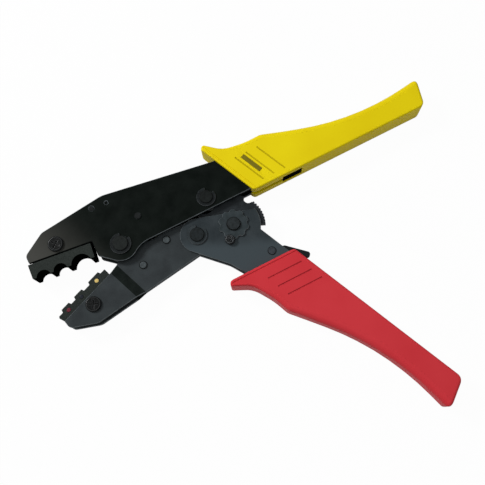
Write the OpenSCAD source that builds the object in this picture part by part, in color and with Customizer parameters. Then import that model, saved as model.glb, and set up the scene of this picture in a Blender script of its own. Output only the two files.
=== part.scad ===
// Ratchet crimping plier for insulated terminals, lying flat with its jaws open.
// Plan places start at the main pivot, with x along the upper die towards the grips.
// In plan, y runs away from the moving jaw.
// Heights start at the surface that the grips lie on.

/* [Plate stack] */
// Gap between the two jaw plates
jaw_gap = 0.9; // [0.8:0.05:1.2]
// Thickness of a jaw plate
jaw_plate_t = 1.4; // [1.2:0.1:2]
// Thickness of a handle plate
handle_plate_t = 1.3; // [1.1:0.05:2]
// Thickness of a frame plate
frame_plate_t = 1.9; // [1.5:0.05:2.5]
// Side clearance between plates that slide past each other
side_clear = 0.2; // [0.15:0.05:0.3]
// Plastic over each frame plate
grip_cover = 1.55; // [1.5:0.05:2.5]
// Set of each jaw cheek away from its rear plate, which makes room for the die
cheek_spread = 2.6; // [2:0.1:3]

/* [Pivots] */
// Link pin, along the upper die
link_pin_x = 49.25; // [48.5:0.25:51]
// Link pin, above the main pivot
link_pin_y = 8; // [7.5:0.25:9]
// Knee pin between jaw and handle, along the upper die
knee_x = 38.25; // [37:0.25:39]
// Knee pin, above the main pivot
knee_y = -9; // [-10:0.25:-8.5]
// Adjuster pin between handle and link, along the upper die
adjuster_x = 57.75; // [57:0.25:59]
// Adjuster pin, above the main pivot
adjuster_y = -10.25; // [-11:0.25:-9.5]
// Pawl pin, along the upper die
pawl_x = 71.25; // [70.75:0.25:72.5]
// Pawl pin, above the main pivot
pawl_y = -30.25; // [-32:0.25:-29.75]
// Diameter of the main pivot pin
main_pin_d = 8; // [6:0.25:10]
// Diameter of the link pin
link_pin_d = 7; // [5:0.25:7.5]
// Diameter of the knee pin
knee_pin_d = 7.5; // [5:0.25:8]
// Diameter of the adjuster pin
adjuster_pin_d = 7; // [5:0.25:8]
// Diameter of the pawl pin
pawl_pin_d = 3.75; // [3:0.25:5.5]
// Radial clearance round each pin
pin_clear = 0.05; // [0.02:0.01:0.1]
// Width of the flat ring of a retaining clip
clip_w = 1.5; // [1:0.1:2]
// Thickness of a retaining clip
clip_t = 0.8; // [0.5:0.1:1]

/* [Jaws and dies] */
// Angle between the die faces when the jaws stand open
jaw_open = 28; // [24:1:30]
// Reach of both jaws in front of the main pivot
jaw_reach = 48; // [46:0.5:52]
// Height of a die seat off the closing line
seat_h = 6.5; // [6:0.25:7.5]
// Height of a jaw tip off the closing line
tip_h = 11; // [9:0.5:12]
// Distance of a jaw's brow in front of the main pivot
brow_x = 37; // [34:0.5:39]
// Height of a jaw's brow off the closing line
brow_h = 20; // [18:0.5:22]
// Slope of the edge behind a jaw's brow
brow_slope = 13.4; // [10:0.2:15]
// Rear end of the die seats in front of the main pivot
seat_rear = 13.6; // [13.5:0.1:15]
// Radius of the frame hub round the main pivot
frame_hub_r = 9; // [8.5:0.25:10]
// Radius of the hollow between frame hub and lower frame edge
hub_hollow_r = 13.5; // [10:0.5:16]
// Radius of the jaw and handle ends round the knee pin
knee_lobe_r = 9; // [7:0.25:9.5]
// Distance of the die screws in front of the main pivot
die_screw_x = 31.5; // [28:0.5:34]
// Distance of the die screws from the closing line
die_screw_h = 11.5; // [11:0.25:13]
// Diameter of a die screw
die_screw_d = 4; // [3:0.25:5]
// Diameter of a die screw's head
die_screw_head_d = 8; // [6:0.25:8.5]
// Height of the hidden root of a die off the closing line
die_root_h = 16; // [15:0.5:17]
// Depth of the upper die's teeth past the closing line
tooth_dip = 2; // [1.25:0.25:2.25]
// Gap left between upper teeth and lower die when the jaws are shut
shut_gap = 0.35; // [0.3:0.05:0.6]
// Height of the lower die's anvils
anvil_h = 1.5; // [1:0.1:1.8]

/* [Grips] */
// Length of a grip along its inner edge
grip_len = 102; // [98:0.5:120]
// Height of a grip's far corner off the inner edge
grip_end_w = 16; // [14:0.2:18]
// Width of a grip at the bend behind its lip
grip_w = 26.6; // [26:0.2:30]
// Height of the lip's tip off the inner edge
lip_h = 35.4; // [34:0.2:40]
// Length of the metal tang inside a grip
tang_len = 92; // [84:1:94]
// Distance of the tang from the grip's inner edge
tang_inset = 2; // [1.8:0.1:2.4]
// Fit of a grip round its tang
grip_fit = 0.1; // [0.05:0.05:0.2]
// Fixed grip's mouth corner, along the upper die
fixed_grip_x = 73.75; // [73:0.25:75]
// Fixed grip's mouth corner, above the main pivot
fixed_grip_y = 2.5; // [2:0.25:3]
// Slope of the fixed grip's inner edge
fixed_grip_tilt = 7; // [6:0.25:8]
// Handle grip's mouth corner, along the upper die
handle_grip_x = 82; // [81.5:0.25:83]
// Handle grip's mouth corner, above the main pivot
handle_grip_y = -33.75; // [-34.5:0.25:-33]
// Slope of the handle grip's inner edge
handle_grip_tilt = -59.25; // [-61:0.25:-58.5]
// Depth of the finger grooves
groove_depth = 0.4; // [0.2:0.1:0.8]

/* [Ratchet and adjuster] */
// Outer radius of the ratchet teeth
ratchet_r = 16.5; // [15:0.25:17]
// Number of ratchet teeth
ratchet_teeth = 9; // [6:1:12]
// Depth of a ratchet tooth
ratchet_tooth_h = 1.1; // [0.6:0.1:1.5]
// Thickness of the pawl and its release lever
pawl_t = 2.8; // [2:0.1:3.2]
// Radius of the handle plate's head round the adjuster pin
handle_head_r = 14; // [13.5:0.25:14.25]
// Outer radius of the adjuster wheel
wheel_r = 7.9; // [7:0.1:8]
// Thickness of the adjuster wheel
wheel_t = 1; // [0.6:0.1:1.5]
// Number of notches round the adjuster wheel
wheel_notches = 10; // [6:1:12]

/* [Hidden] */
$fn = 64;

// Overshoot of a cut past the face it opens
over = 1;
// Reach of half planes and other trimming solids
far = 200;

// Heights of the stack, counted from the middle plane outwards
core_half = jaw_gap / 2 + jaw_plate_t;
handle_in = core_half + side_clear;
handle_out = handle_in + handle_plate_t;
frame_in = handle_out + side_clear;
frame_out = frame_in + frame_plate_t;
mid = frame_out + grip_cover;
grip_t = 2 * mid;
cheek_in = jaw_gap / 2 + cheek_spread;
cheek_out = cheek_in + jaw_plate_t;

// Pivot places
link_at = [link_pin_x, link_pin_y];
knee_at = [knee_x, knee_y];
adjuster_at = [adjuster_x, adjuster_y];
pawl_at = [pawl_x, pawl_y];
fixed_grip_at = [fixed_grip_x, fixed_grip_y];
handle_grip_at = [handle_grip_x, handle_grip_y];

// Plain vector helpers
function unit(v) = v / norm(v);
function polar(r, a) = r * [cos(a), sin(a)];
function turned(p, a) = [p.x * cos(a) - p.y * sin(a), p.x * sin(a) + p.y * cos(a)];
function heading(v) = atan2(v.y, v.x);
// Where the line through p along a meets the line through q along b
function meet(p, a, q, b) =
  let (d = polar(1, a), e = polar(1, b), s = cross(q - p, e) / cross(d, e)) p + s * d;
// Where a line from p touches the circle of radius r round c, on its left (1) or right (-1) side
function touch(p, c, r, side) =
  let (d = norm(c - p)) p + polar(sqrt(d * d - r * r), heading(c - p) + side * asin(r / d));
// Corner of the two tangents that touch the circle of radius r round c at angles a and b
function wrap(c, r, a, b) = concat(c + polar(r / cos((b - a) / 2), (a + b) / 2), r);

// Where the line from p along a enters (-1) or leaves (1) the circle of radius r round c
function cut(p, a, c, r, side) =
  let (d = polar(1, a), b = (p - c) * d) p + d * (side * sqrt(b * b - (p - c) * (p - c) + r * r) - b);

// An outline is a list of corners [x, y, radius], each rounded by an arc
arc_step = 6;
function arc(c, r, a, b) =
  let (n = ceil(abs(b - a) / arc_step)) [for (i = [0:n]) c + polar(r, a + (b - a) * i / n)];
// Corners of an arc round c that runs to the left from the point p to the point q
function arc_corners(c, p, q) =
  let (a = heading(p - c), b = heading(q - c))
  [for (k = arc(c, norm(p - c), a, b > a ? b : b + 360)) concat(k, 0)];
function corner(p, q, s, r) =
  let (u = unit(p - q), v = unit(s - q), half = acos(u * v) / 2)
  r == 0 ? [q] :
  let (c = q + unit(u + v) * r / sin(half), start = heading(q + u * r / tan(half) - c),
    sweep = (cross(u, v) < 0 ? 1 : -1) * (180 - 2 * half))
  arc(c, r, start, start + sweep);
function xy(p) = [p.x, p.y];
function rounded(k) =
  let (n = len(k))
  [for (i = [0:n - 1]) each corner(xy(k[(i + n - 1) % n]), xy(k[i]), xy(k[(i + 1) % n]), k[i][2])];

// A plate between two heights off the middle plane
module slab(low, high) {
  translate([0, 0, mid + low]) linear_extrude(high - low) children();
}
module rod(at, r, low, high) {
  translate([at.x, at.y, mid + low]) cylinder(r = r, h = high - low);
}
module ring(at, r_in, r_out, low, high) {
  difference() {
    rod(at, r_out, low, high);
    rod(at, r_in, low - over, high + over);
  }
}
// Straight bar with round ends
module bar(p, q, w, low, high) {
  rod(p, w / 2, low, high);
  rod(q, w / 2, low, high);
  slab(low, high) translate(p) rotate(heading(q - p)) translate([0, -w / 2]) square([norm(q - p), w]);
}
module mirrored_plate() {
  translate([0, 0, 2 * mid]) mirror([0, 0, 1]) children();
}
module round_hole(at, d) {
  rod(at, d / 2 + pin_clear, -far, far);
}

// Places on a grip: u along its inner edge from the mouth corner, v towards its outer edge
function on_fixed(u, v) = fixed_grip_at + turned([u, v], fixed_grip_tilt);
function on_handle(u, v) = handle_grip_at + turned([u, -v], handle_grip_tilt);

// Grip outline and the tang that fills it
grip_overhang = 4.1;
grip_bend_u = 17;
lip_u = -12.9;
lip_front_u = -14.6;
lip_front_drop = 2.3;
lip_root_u = -4.5;
lip_root_rise = 1.4;
thumb_u = 8;
thumb_drop = 0.4;
grip_corner_r = 2;
grip_end_r = 2;
grip_bend_r = 6;
palm_share = 0.65;
palm_v = 10.4;
palm_r = 135;
thumb_r = 40;
lip_hollow_r = 14;
lip_tip_r = 1.2;
grip_outline = rounded([[0, 0, grip_corner_r], [grip_len, 0, grip_end_r],
  [grip_len + grip_overhang, grip_end_w, grip_end_r], [grip_len * palm_share, palm_v, palm_r],
  [grip_bend_u, grip_w, grip_bend_r], [thumb_u, grip_w - thumb_drop, thumb_r],
  [lip_root_u, grip_w + lip_root_rise, lip_hollow_r], [lip_u, lip_h, lip_tip_r],
  [lip_front_u, lip_h - lip_front_drop, lip_tip_r]]);
mouth_slope = heading([-lip_front_u, lip_front_drop - lip_h]);
tang_mouth_u = -12;
tang_mouth_v = 24.7;
tang_end_w = 5;
tang_end_v = tang_inset + tang_end_w;
tang_slope = heading([tang_len - tang_mouth_u, tang_end_v - tang_mouth_v]);
// Room for the tang, run out past the mouth
socket_front_u = -30;
socket_front_v = tang_mouth_v + (socket_front_u - tang_mouth_u) * tan(tang_slope);
socket_outline = [[socket_front_u, tang_inset - grip_fit], [tang_len + grip_fit, tang_inset - grip_fit],
  [tang_len + grip_fit, tang_end_v + grip_fit], [socket_front_u, socket_front_v + grip_fit]];
// Slit and window in the grip's inner wall, where the release lever and the moulding core pass
slit_clear = 0.3;
window_u = 17;
window_len = 11.5;
window_w = 8;
grooves = 3;
groove_pitch = 6.4;
groove_first_u = -0.6;
groove_first_v = 20.5;
groove_len = 19;
groove_w = 0.7;

// One grip, as a sleeve round plates that stand half_over off the middle plane
module grip(half_over) {
  difference() {
    slab(-mid, mid) polygon(grip_outline);
    slab(-half_over - grip_fit, half_over + grip_fit) polygon(socket_outline);
    slab(-pawl_t / 2 - slit_clear, pawl_t / 2 + slit_clear)
      translate([socket_front_u, -over]) square([window_u - socket_front_u, tang_inset + 2 * over]);
    slab(-window_w / 2, window_w / 2)
      translate([window_u, -over]) square([window_len, tang_inset + 2 * over]);
    for (k = [0:grooves - 1], face = [-1, 1])
      translate([groove_first_u + k * groove_pitch, groove_first_v, mid + face * mid])
        rotate(mouth_slope) translate([0, -groove_w / 2, -groove_depth])
          cube([groove_len, groove_w, 2 * groove_depth]);
  }
}
module on_fixed_grip() {
  translate(fixed_grip_at) rotate(fixed_grip_tilt) children();
}
module on_handle_grip() {
  translate(handle_grip_at) rotate(handle_grip_tilt) mirror([0, 1, 0]) children();
}

// Frame outline: jaw, brow, top edge into the grip, lower edge, hub and die seat
hub_low_a = -46;
hub_front_a = -125;
brow_at = [-brow_x, brow_h];
frame_top_end = on_fixed(tang_len, tang_end_v);
frame_low_end = on_fixed(tang_len, tang_inset);
crown_at = meet(brow_at, brow_slope, frame_top_end, fixed_grip_tilt + tang_slope);
hub_hollow_at = meet(polar(frame_hub_r, hub_low_a), hub_low_a - 90, frame_low_end, fixed_grip_tilt);
shoulder_back = 0.8;
shoulder_x = shoulder_back - seat_rear;
shoulder_at = meet(polar(frame_hub_r, hub_front_a), hub_front_a + 90, [shoulder_x, 0], 90);
tip_r = 3;
brow_r = 6;
crown_r = 14;
tang_r = 1.5;
shoulder_r = 1.5;
tip_back = 0.6;
seat_tip_r = 0.5;
frame_outline = rounded([[-jaw_reach + tip_back, seat_h, seat_tip_r], [-jaw_reach, tip_h, tip_r],
  concat(brow_at, brow_r), concat(crown_at, crown_r), concat(frame_top_end, tang_r),
  concat(frame_low_end, tang_r), concat(hub_hollow_at, hub_hollow_r),
  wrap([0, 0], frame_hub_r, hub_low_a, hub_front_a), concat(shoulder_at, shoulder_r),
  [-seat_rear, seat_h, 0]]);

// Fixed points on the frame
sleeve_at = [-8.8, 23.4];
sleeve_d = 5;
rivet_d = 2.6;
post_at = [12.75, 11];
post_d = 3;
post_head_d = 3.4;
post_head_t = 0.6;
peep_at = [-0.6, 23.7];
peep_d = 1.8;
spacer_end_gap = 4;
spacer_edge_gap = 0.6;
spacer_w = 4;
spacer_end_u = tang_len - spacer_end_gap;
spacer_low_v = tang_inset + spacer_edge_gap;
tang_rivet_d = 3;
first_rivet_u = 44;
last_rivet_gap = 8;
tang_rivet_us = [first_rivet_u, spacer_end_u - last_rivet_gap];
tang_rivet_v = spacer_low_v + spacer_w / 2;
toe_clear = 0.3;
toe_front_u = window_u + toe_clear;
toe_rear_u = window_u + window_len - toe_clear;
die_screw_up = [-die_screw_x, die_screw_h];
module frame_plate() {
  difference() {
    slab(frame_in, frame_out) polygon(frame_outline);
    round_hole([0, 0], main_pin_d);
    round_hole(link_at, link_pin_d);
    round_hole(die_screw_up, die_screw_d);
    round_hole(sleeve_at, rivet_d);
    round_hole(post_at, post_d);
    round_hole(peep_at, peep_d);
    for (u = tang_rivet_us) round_hole(on_fixed(u, tang_rivet_v), tang_rivet_d);
  }
}
module frame_plate_front() {
  color("#1f2322") frame_plate();
}
module frame_plate_back() {
  color("#1f2322") mirrored_plate() frame_plate();
}

// Tang spacer shared by frame and handle, with a toe that snaps into the grip's window
module tang_spacer(half) {
  slab(-half, half)
    polygon([[toe_front_u, toe_clear], [toe_rear_u, toe_clear], [toe_rear_u, spacer_low_v],
      [spacer_end_u, spacer_low_v], [spacer_end_u, spacer_low_v + spacer_w],
      [toe_front_u, spacer_low_v + spacer_w]]);
}
module frame_spacer() {
  color("#202325") difference() {
    on_fixed_grip() tang_spacer(frame_in);
    for (u = tang_rivet_us) round_hole(on_fixed(u, tang_rivet_v), tang_rivet_d);
  }
}
module front_sleeve() {
  color("#4a4d50") ring(sleeve_at, rivet_d / 2 + pin_clear, sleeve_d / 2, -frame_in, frame_in);
}
module frame_rivets() {
  color("#2a2d2f") {
    rod(sleeve_at, rivet_d / 2, -frame_out, frame_out);
    for (u = tang_rivet_us) rod(on_fixed(u, tang_rivet_v), tang_rivet_d / 2, -frame_out, frame_out);
  }
}
// Pin with a low head on each end
module headed_pin(at, d, head_d, head_t, half) {
  rod(at, d / 2, -half, half);
  rod(at, head_d / 2, half, half + head_t);
  rod(at, head_d / 2, -half - head_t, -half);
}
module spring_post() {
  color("#2a2d2f") headed_pin(post_at, post_d, post_head_d, post_head_t, frame_out);
}

// Dies: three nests above, three anvils below, at the same stations
nest_xs = [-42, -33, -22];
nest_rs = [3.75, 3.6, 5.25];
nest_depths = [2.9, 3.2, 4.2];
anvil_ws = [5, 5.2, 7];
anvil_flare = 0.5;
die_proud = 0.2;
die_front_x = -jaw_reach - die_proud;
die_front_bevel = 0.5;
die_rear_gap = 0.3;
die_rear_room = 1.1;
die_rear_x = -seat_rear - die_rear_room;
die_root_front = 38;
die_root_step = 1.8;
die_root_rear = 16;
die_root_r = 2;
die_root_tip = 1;
die_root_lean = 1;
die_edge_r = 0.4;
upper_die_outline = rounded([
  [die_front_x + die_front_bevel, -tooth_dip, die_edge_r], [die_front_x, seat_h - die_edge_r, die_edge_r],
  [-jaw_reach + die_root_step, seat_h, 0],
  [-jaw_reach + die_root_step, tip_h - die_root_tip, die_root_tip],
  [-die_root_front, die_root_h, die_root_r], [-die_root_rear, die_root_h, die_root_r],
  [-die_root_rear, seat_h, 0], [die_rear_x, seat_h - die_edge_r, die_edge_r],
  [die_rear_x, -tooth_dip, die_edge_r]]);
// Below the seat the die is nearly as wide as the frame, with a narrow gap to the plates
die_face_back = 0.1;
die_seat_gap = 0.6;
upper_die_half = frame_out - die_face_back;
upper_die_block = rounded([
  [die_front_x + die_front_bevel, -tooth_dip, die_edge_r], [die_front_x, seat_h - die_seat_gap, die_edge_r],
  [die_rear_x, seat_h - die_seat_gap, die_edge_r], [die_rear_x, -tooth_dip, die_edge_r]]);
module upper_die() {
  color("#2d302d") difference() {
    union() {
      slab(-frame_in, frame_in) polygon(upper_die_outline);
      slab(-upper_die_half, upper_die_half) polygon(upper_die_block);
    }
    for (k = [0:len(nest_xs) - 1])
      rod([nest_xs[k], nest_depths[k] - nest_rs[k] - tooth_dip], nest_rs[k], -far, far);
    round_hole(die_screw_up, die_screw_d);
  }
}
// Cross-headed screw whose head seats at the height seat, with its shank down to the height tip
screw_head_t = 1.5;
screw_dome = 0.5;
slot_w = 0.9;
slot_share = 0.62;
slot_depth = 0.9;
slot_as = [45, 135];
module cross_screw(at, d, head_d, head_t, seat, tip) {
  difference() {
    union() {
      rod(at, d / 2, tip, seat);
      rod(at, head_d / 2, seat, seat + head_t - screw_dome);
      translate([at.x, at.y, mid + seat + head_t - screw_dome])
        cylinder(r1 = head_d / 2, r2 = head_d / 2 - screw_dome, h = screw_dome);
    }
    for (a = slot_as)
      translate([at.x, at.y, mid + seat + head_t])
        rotate(a) cube([head_d * slot_share, slot_w, 2 * slot_depth], center = true);
  }
}
nut_af = 7;
nut_t = 1.4;
module hex_nut(at, d, seat) {
  difference() {
    translate([at.x, at.y, mid - seat - nut_t]) cylinder(d = nut_af / cos(30), h = nut_t, $fn = 6);
    round_hole(at, d);
  }
}
module upper_die_screw() {
  color("#1a1c1d") cross_screw(die_screw_up, die_screw_d, die_screw_head_d, screw_head_t,
    frame_out, -frame_out - nut_t);
}
module upper_die_nut() {
  color("#2a2d2f") hex_nut(die_screw_up, die_screw_d, frame_out);
}
module fixed_grip() {
  color("#d3c31b") on_fixed_grip() grip(frame_out);
}

// Pivot pins carry a clip in a groove at each end
pin_end = grip_cover - clip_t;
groove_in = 0.6;
clip_gap_a = 50;
clip_gap_w = 60;
module grooved_pin(at, d, half, end) {
  rod(at, d / 2, -half, half);
  rod(at, d / 2 - groove_in, -half - clip_t, half + clip_t);
  rod(at, d / 2, half + clip_t, half + clip_t + end);
  rod(at, d / 2, -half - clip_t - end, -half - clip_t);
}
module clip(at, d, seat) {
  clip_r = d / 2 + clip_w;
  difference() {
    ring(at, d / 2 - groove_in + pin_clear, clip_r, seat, seat + clip_t);
    translate(at) slab(seat - over, seat + clip_t + over)
      polygon([[0, 0], polar(2 * clip_r, clip_gap_a - clip_gap_w / 2),
        polar(2 * clip_r, clip_gap_a + clip_gap_w / 2)]);
  }
}
module clip_pair(at, d, half) {
  clip(at, d, half);
  clip(at, d, -half - clip_t);
}
module main_pin() {
  color("#25282a") grooved_pin([0, 0], main_pin_d, frame_out, pin_end);
}
module main_clips() {
  color("#34383a") clip_pair([0, 0], main_pin_d, frame_out);
}
// Rings that keep the jaw and the link centred between the frame plates
washer_w = 3.5;
collar_w = 1.5;
ring_clear = 0.05;
module side_rings(at, d, w) {
  for (side = [-1, 1]) {
    low = side > 0 ? core_half + ring_clear : -frame_in;
    ring(at, d / 2 + pin_clear, d / 2 + w, low, low + frame_in - core_half - ring_clear);
  }
}
module pivot_washers() {
  color("#4a4d50") side_rings([0, 0], main_pin_d, washer_w);
}
module link_pin() {
  color("#25282a") grooved_pin(link_at, link_pin_d, frame_out, pin_end);
}
module link_clips() {
  color("#34383a") clip_pair(link_at, link_pin_d, frame_out);
}
module link_collars() {
  color("#4a4d50") side_rings(link_at, link_pin_d, collar_w);
}

// Moving jaw, drawn shut and then swung open
jaw_hub_r = 8.5;
jaw_hub_end_a = 212;
joggle_front_x = -14.5;
joggle_run = 5;
joggle_rear_x = joggle_front_x + joggle_run;
joggle_skew = jaw_plate_t * tan(atan(cheek_spread / joggle_run) / 2);
knee_shut = turned(knee_at, -jaw_open);
jaw_rivet_a = [17.25, -15.25];
jaw_rivet_b = [-0.25, -15.5];
jaw_rivet_d = 3;
jaw_rivet_head_d = 4.2;
jaw_rivet_head_t = 0.5;
die_screw_down = [-die_screw_x, -die_screw_h];
jaw_brow_back = 0.5;
jaw_brow = [jaw_brow_back - brow_x, -brow_h];
neck_front = turned([13, -3], -jaw_open);
neck_rear = turned([23, -1], -jaw_open);
neck_r = 3;
seat_end = [joggle_front_x, -seat_h];
seat_end_r = 2;
jaw_outline = rounded(concat(
  [[-jaw_reach + tip_back, -seat_h, seat_tip_r], [-jaw_reach, -tip_h, tip_r], concat(jaw_brow, brow_r)],
  arc_corners(knee_shut, touch(jaw_brow, knee_shut, knee_lobe_r, -1),
    touch(neck_rear, knee_shut, knee_lobe_r, 1)),
  [concat(neck_rear, neck_r), concat(neck_front, neck_r)],
  arc_corners([0, 0], touch(neck_front, [0, 0], jaw_hub_r, -1), polar(jaw_hub_r, jaw_hub_end_a)),
  [concat(seat_end, seat_end_r)]));
// Section of the bent plate along the jaw, heights off the middle plane
jaw_section = [[-far, cheek_in], [joggle_front_x - joggle_skew, cheek_in],
  [joggle_rear_x - joggle_skew, jaw_gap / 2], [far, jaw_gap / 2], [far, core_half],
  [joggle_rear_x, core_half], [joggle_front_x, cheek_out], [-far, cheek_out]];
module open_jaw() {
  rotate(jaw_open) children();
}
module jaw_plate() {
  open_jaw() difference() {
    intersection() {
      slab(-mid, mid) polygon(jaw_outline);
      translate([0, far, mid]) rotate([90, 0, 0]) linear_extrude(2 * far) polygon(jaw_section);
    }
    round_hole([0, 0], main_pin_d);
    round_hole(knee_shut, knee_pin_d);
    round_hole(jaw_rivet_a, jaw_rivet_d);
    round_hole(jaw_rivet_b, jaw_rivet_d);
    round_hole(die_screw_down, die_screw_d);
  }
}
module jaw_plate_front() {
  color("#363a3d") jaw_plate();
}
module jaw_plate_back() {
  color("#363a3d") mirrored_plate() jaw_plate();
}
// Thin plate between the jaw plates, kept back from their edges and clear of the spring's hook
jaw_spacer_inset = 2.5;
jaw_spacer_front = [-6, -18];
jaw_spacer_hub = 4;
jaw_spacer_low_a = 80;
hook_room = 4.5;
hook_rear_a = 50;
hook_front_a = 30;
module jaw_spacer() {
  color("#2a2d2f") open_jaw() difference() {
    union() {
      slab(-jaw_gap / 2, jaw_gap / 2)
        polygon([jaw_spacer_front, knee_shut - polar(knee_lobe_r - jaw_spacer_inset, jaw_spacer_low_a),
          knee_shut, jaw_rivet_a - polar(hook_room, hook_rear_a),
          jaw_rivet_b + polar(hook_room, hook_front_a), [jaw_spacer_hub, 0], [-jaw_spacer_hub, 0]]);
      rod([0, 0], jaw_hub_r - jaw_spacer_inset, -jaw_gap / 2, jaw_gap / 2);
      rod(knee_shut, knee_lobe_r - jaw_spacer_inset, -jaw_gap / 2, jaw_gap / 2);
    }
    round_hole([0, 0], main_pin_d);
    round_hole(knee_shut, knee_pin_d);
    round_hole(jaw_rivet_b, jaw_rivet_d);
  }
}
module jaw_rivets() {
  color("#4a4e51") open_jaw()
    for (at = [jaw_rivet_a, jaw_rivet_b])
      headed_pin(at, jaw_rivet_d, jaw_rivet_head_d, jaw_rivet_head_t, core_half);
}

// Lower die: a block with trapezoid anvils, let into the cheeks
land_y = -tooth_dip - shut_gap;
lower_die_rear = joggle_front_x - joggle_skew - die_rear_gap;
lower_die_chin = 1;
anvils = [for (k = [len(nest_xs) - 1:-1:0])
  let (x = nest_xs[k], w = anvil_ws[k] / 2)
  each [[x + w + anvil_flare, land_y], [x + w, land_y + anvil_h], [x - w, land_y + anvil_h],
    [x - w - anvil_flare, land_y]]];
lower_die_outline = concat([[die_front_x, land_y - lower_die_chin], [-jaw_reach + tip_back, -seat_h],
  [-jaw_reach + die_root_step, die_root_tip - tip_h], [-die_root_front, -die_root_h],
  [lower_die_rear - die_root_lean, -die_root_h], [lower_die_rear, land_y]], anvils,
  [[die_front_x + die_front_bevel, land_y]]);
mark_d = 2.2;
mark_depth = 0.3;
mark_drop = 1.4;
module lower_die() {
  color("#2d302d") open_jaw() difference() {
    slab(-cheek_in, cheek_in) polygon(lower_die_outline);
    round_hole(die_screw_down, die_screw_d);
    for (x = nest_xs) rod([x, land_y - mark_drop], mark_d / 2, cheek_in - mark_depth, cheek_in + over);
  }
}
module lower_die_screw() {
  color("#1a1c1d") open_jaw() cross_screw(die_screw_down, die_screw_d, die_screw_head_d, screw_head_t,
    cheek_out, -cheek_out - nut_t);
}
module lower_die_nut() {
  color("#2a2d2f") open_jaw() hex_nut(die_screw_down, die_screw_d, cheek_out);
}
knee_pin_end = 1;
module knee_pin() {
  color("#25282a") grooved_pin(knee_at, knee_pin_d, handle_out, knee_pin_end);
}
module knee_clips() {
  color("#34383a") clip_pair(knee_at, knee_pin_d, handle_out);
}

// Handle plate: lobe round the knee pin, head round the adjuster pin, tang into the grip
handle_top_a = -10.6;
handle_top_start = knee_at + polar(knee_lobe_r, handle_top_a + 90);
handle_low_bend = [49, -29.2];
handle_low_start = touch(handle_low_bend, knee_at, knee_lobe_r, 1);
handle_bend_r = 8;
handle_low_r = 4;
handle_outline = rounded(concat(
  arc_corners(knee_at, handle_top_start, handle_low_start),
  [concat(handle_low_bend, handle_bend_r), concat(on_handle(tang_mouth_u, tang_mouth_v), handle_low_r),
    concat(on_handle(tang_len, tang_end_v), tang_r), concat(on_handle(tang_len, tang_inset), tang_r)],
  arc_corners(adjuster_at,
    cut(on_handle(0, tang_inset), handle_grip_tilt + 180, adjuster_at, handle_head_r, -1),
    cut(handle_top_start, handle_top_a, adjuster_at, handle_head_r, 1))));
lock_ring_r = 8.6;
lock_a = -122.5;
lock_at = adjuster_at + polar(lock_ring_r, lock_a);
lock_d = 3;
lock_head_d = 5.2;
lock_head_t = 1.3;
pawl_post_u = 13;
pawl_post_v = 14.5;
pawl_spring_post_at = on_handle(pawl_post_u, pawl_post_v);
pawl_post_d = 2;
module handle_plate(with_lock) {
  difference() {
    slab(handle_in, handle_out) polygon(handle_outline);
    round_hole(knee_at, knee_pin_d);
    round_hole(adjuster_at, adjuster_pin_d);
    round_hole(pawl_at, pawl_pin_d);
    round_hole(pawl_spring_post_at, pawl_post_d);
    if (with_lock) round_hole(lock_at, lock_d);
    for (u = tang_rivet_us) round_hole(on_handle(u, tang_rivet_v), tang_rivet_d);
  }
}
module handle_plate_front() {
  color("#383e41") handle_plate(true);
}
module handle_plate_back() {
  color("#383e41") mirrored_plate() handle_plate(false);
}
module handle_spacer() {
  color("#202325") difference() {
    on_handle_grip() tang_spacer(handle_in);
    for (u = tang_rivet_us) round_hole(on_handle(u, tang_rivet_v), tang_rivet_d);
  }
}
module handle_rivets() {
  color("#2a2d2f")
    for (u = tang_rivet_us) rod(on_handle(u, tang_rivet_v), tang_rivet_d / 2, -handle_out, handle_out);
}
module handle_grip() {
  color("#bd3a40") on_handle_grip() grip(handle_out);
}

// Adjuster: pin with a notched wheel on the front plate, held by a lock screw in one notch
notch_clear = 0.15;
wheel_notch_r = lock_d / 2 + notch_clear;
wheel_seat = handle_out;
adjuster_end = 1;
module adjuster_pin() {
  color("#25282a") {
    rod(adjuster_at, adjuster_pin_d / 2, -handle_out, wheel_seat + wheel_t + adjuster_end);
    rod(adjuster_at, adjuster_pin_d / 2 - groove_in, -handle_out - clip_t, -handle_out);
    rod(adjuster_at, adjuster_pin_d / 2, -handle_out - clip_t - adjuster_end, -handle_out - clip_t);
  }
}
module adjuster_wheel() {
  color("#3c4245") difference() {
    rod(adjuster_at, wheel_r, wheel_seat, wheel_seat + wheel_t);
    round_hole(adjuster_at, adjuster_pin_d);
    for (k = [0:wheel_notches - 1])
      rod(adjuster_at + turned(lock_at - adjuster_at, k * 360 / wheel_notches), wheel_notch_r,
        wheel_seat - over, wheel_seat + wheel_t + over);
  }
}
module adjuster_clip() {
  color("#34383a") clip(adjuster_at, adjuster_pin_d, -handle_out - clip_t);
}
module lock_screw() {
  color("#303436") cross_screw(lock_at, lock_d, lock_head_d, lock_head_t, wheel_seat + wheel_t, handle_in);
}
pawl_head_t = 0.4;
pawl_head_extra = 0.3;
module pawl_pin() {
  color("#33383b") headed_pin(pawl_at, pawl_pin_d, pawl_pin_d + 2 * pawl_head_extra, pawl_head_t, handle_out);
}
pawl_washer_w = 1.4;
module pawl_washers() {
  color("#4a4d50")
    for (side = [-1, 1]) {
      low = side > 0 ? pawl_t / 2 + ring_clear : -handle_in;
      ring(pawl_at, pawl_pin_d / 2 + pin_clear, pawl_pin_d / 2 + pawl_washer_w,
        low, low + handle_in - pawl_t / 2 - ring_clear);
    }
}
module pawl_spring_post() {
  color("#2a2d2f") rod(pawl_spring_post_at, pawl_post_d / 2, -handle_out, handle_out);
}

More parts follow.
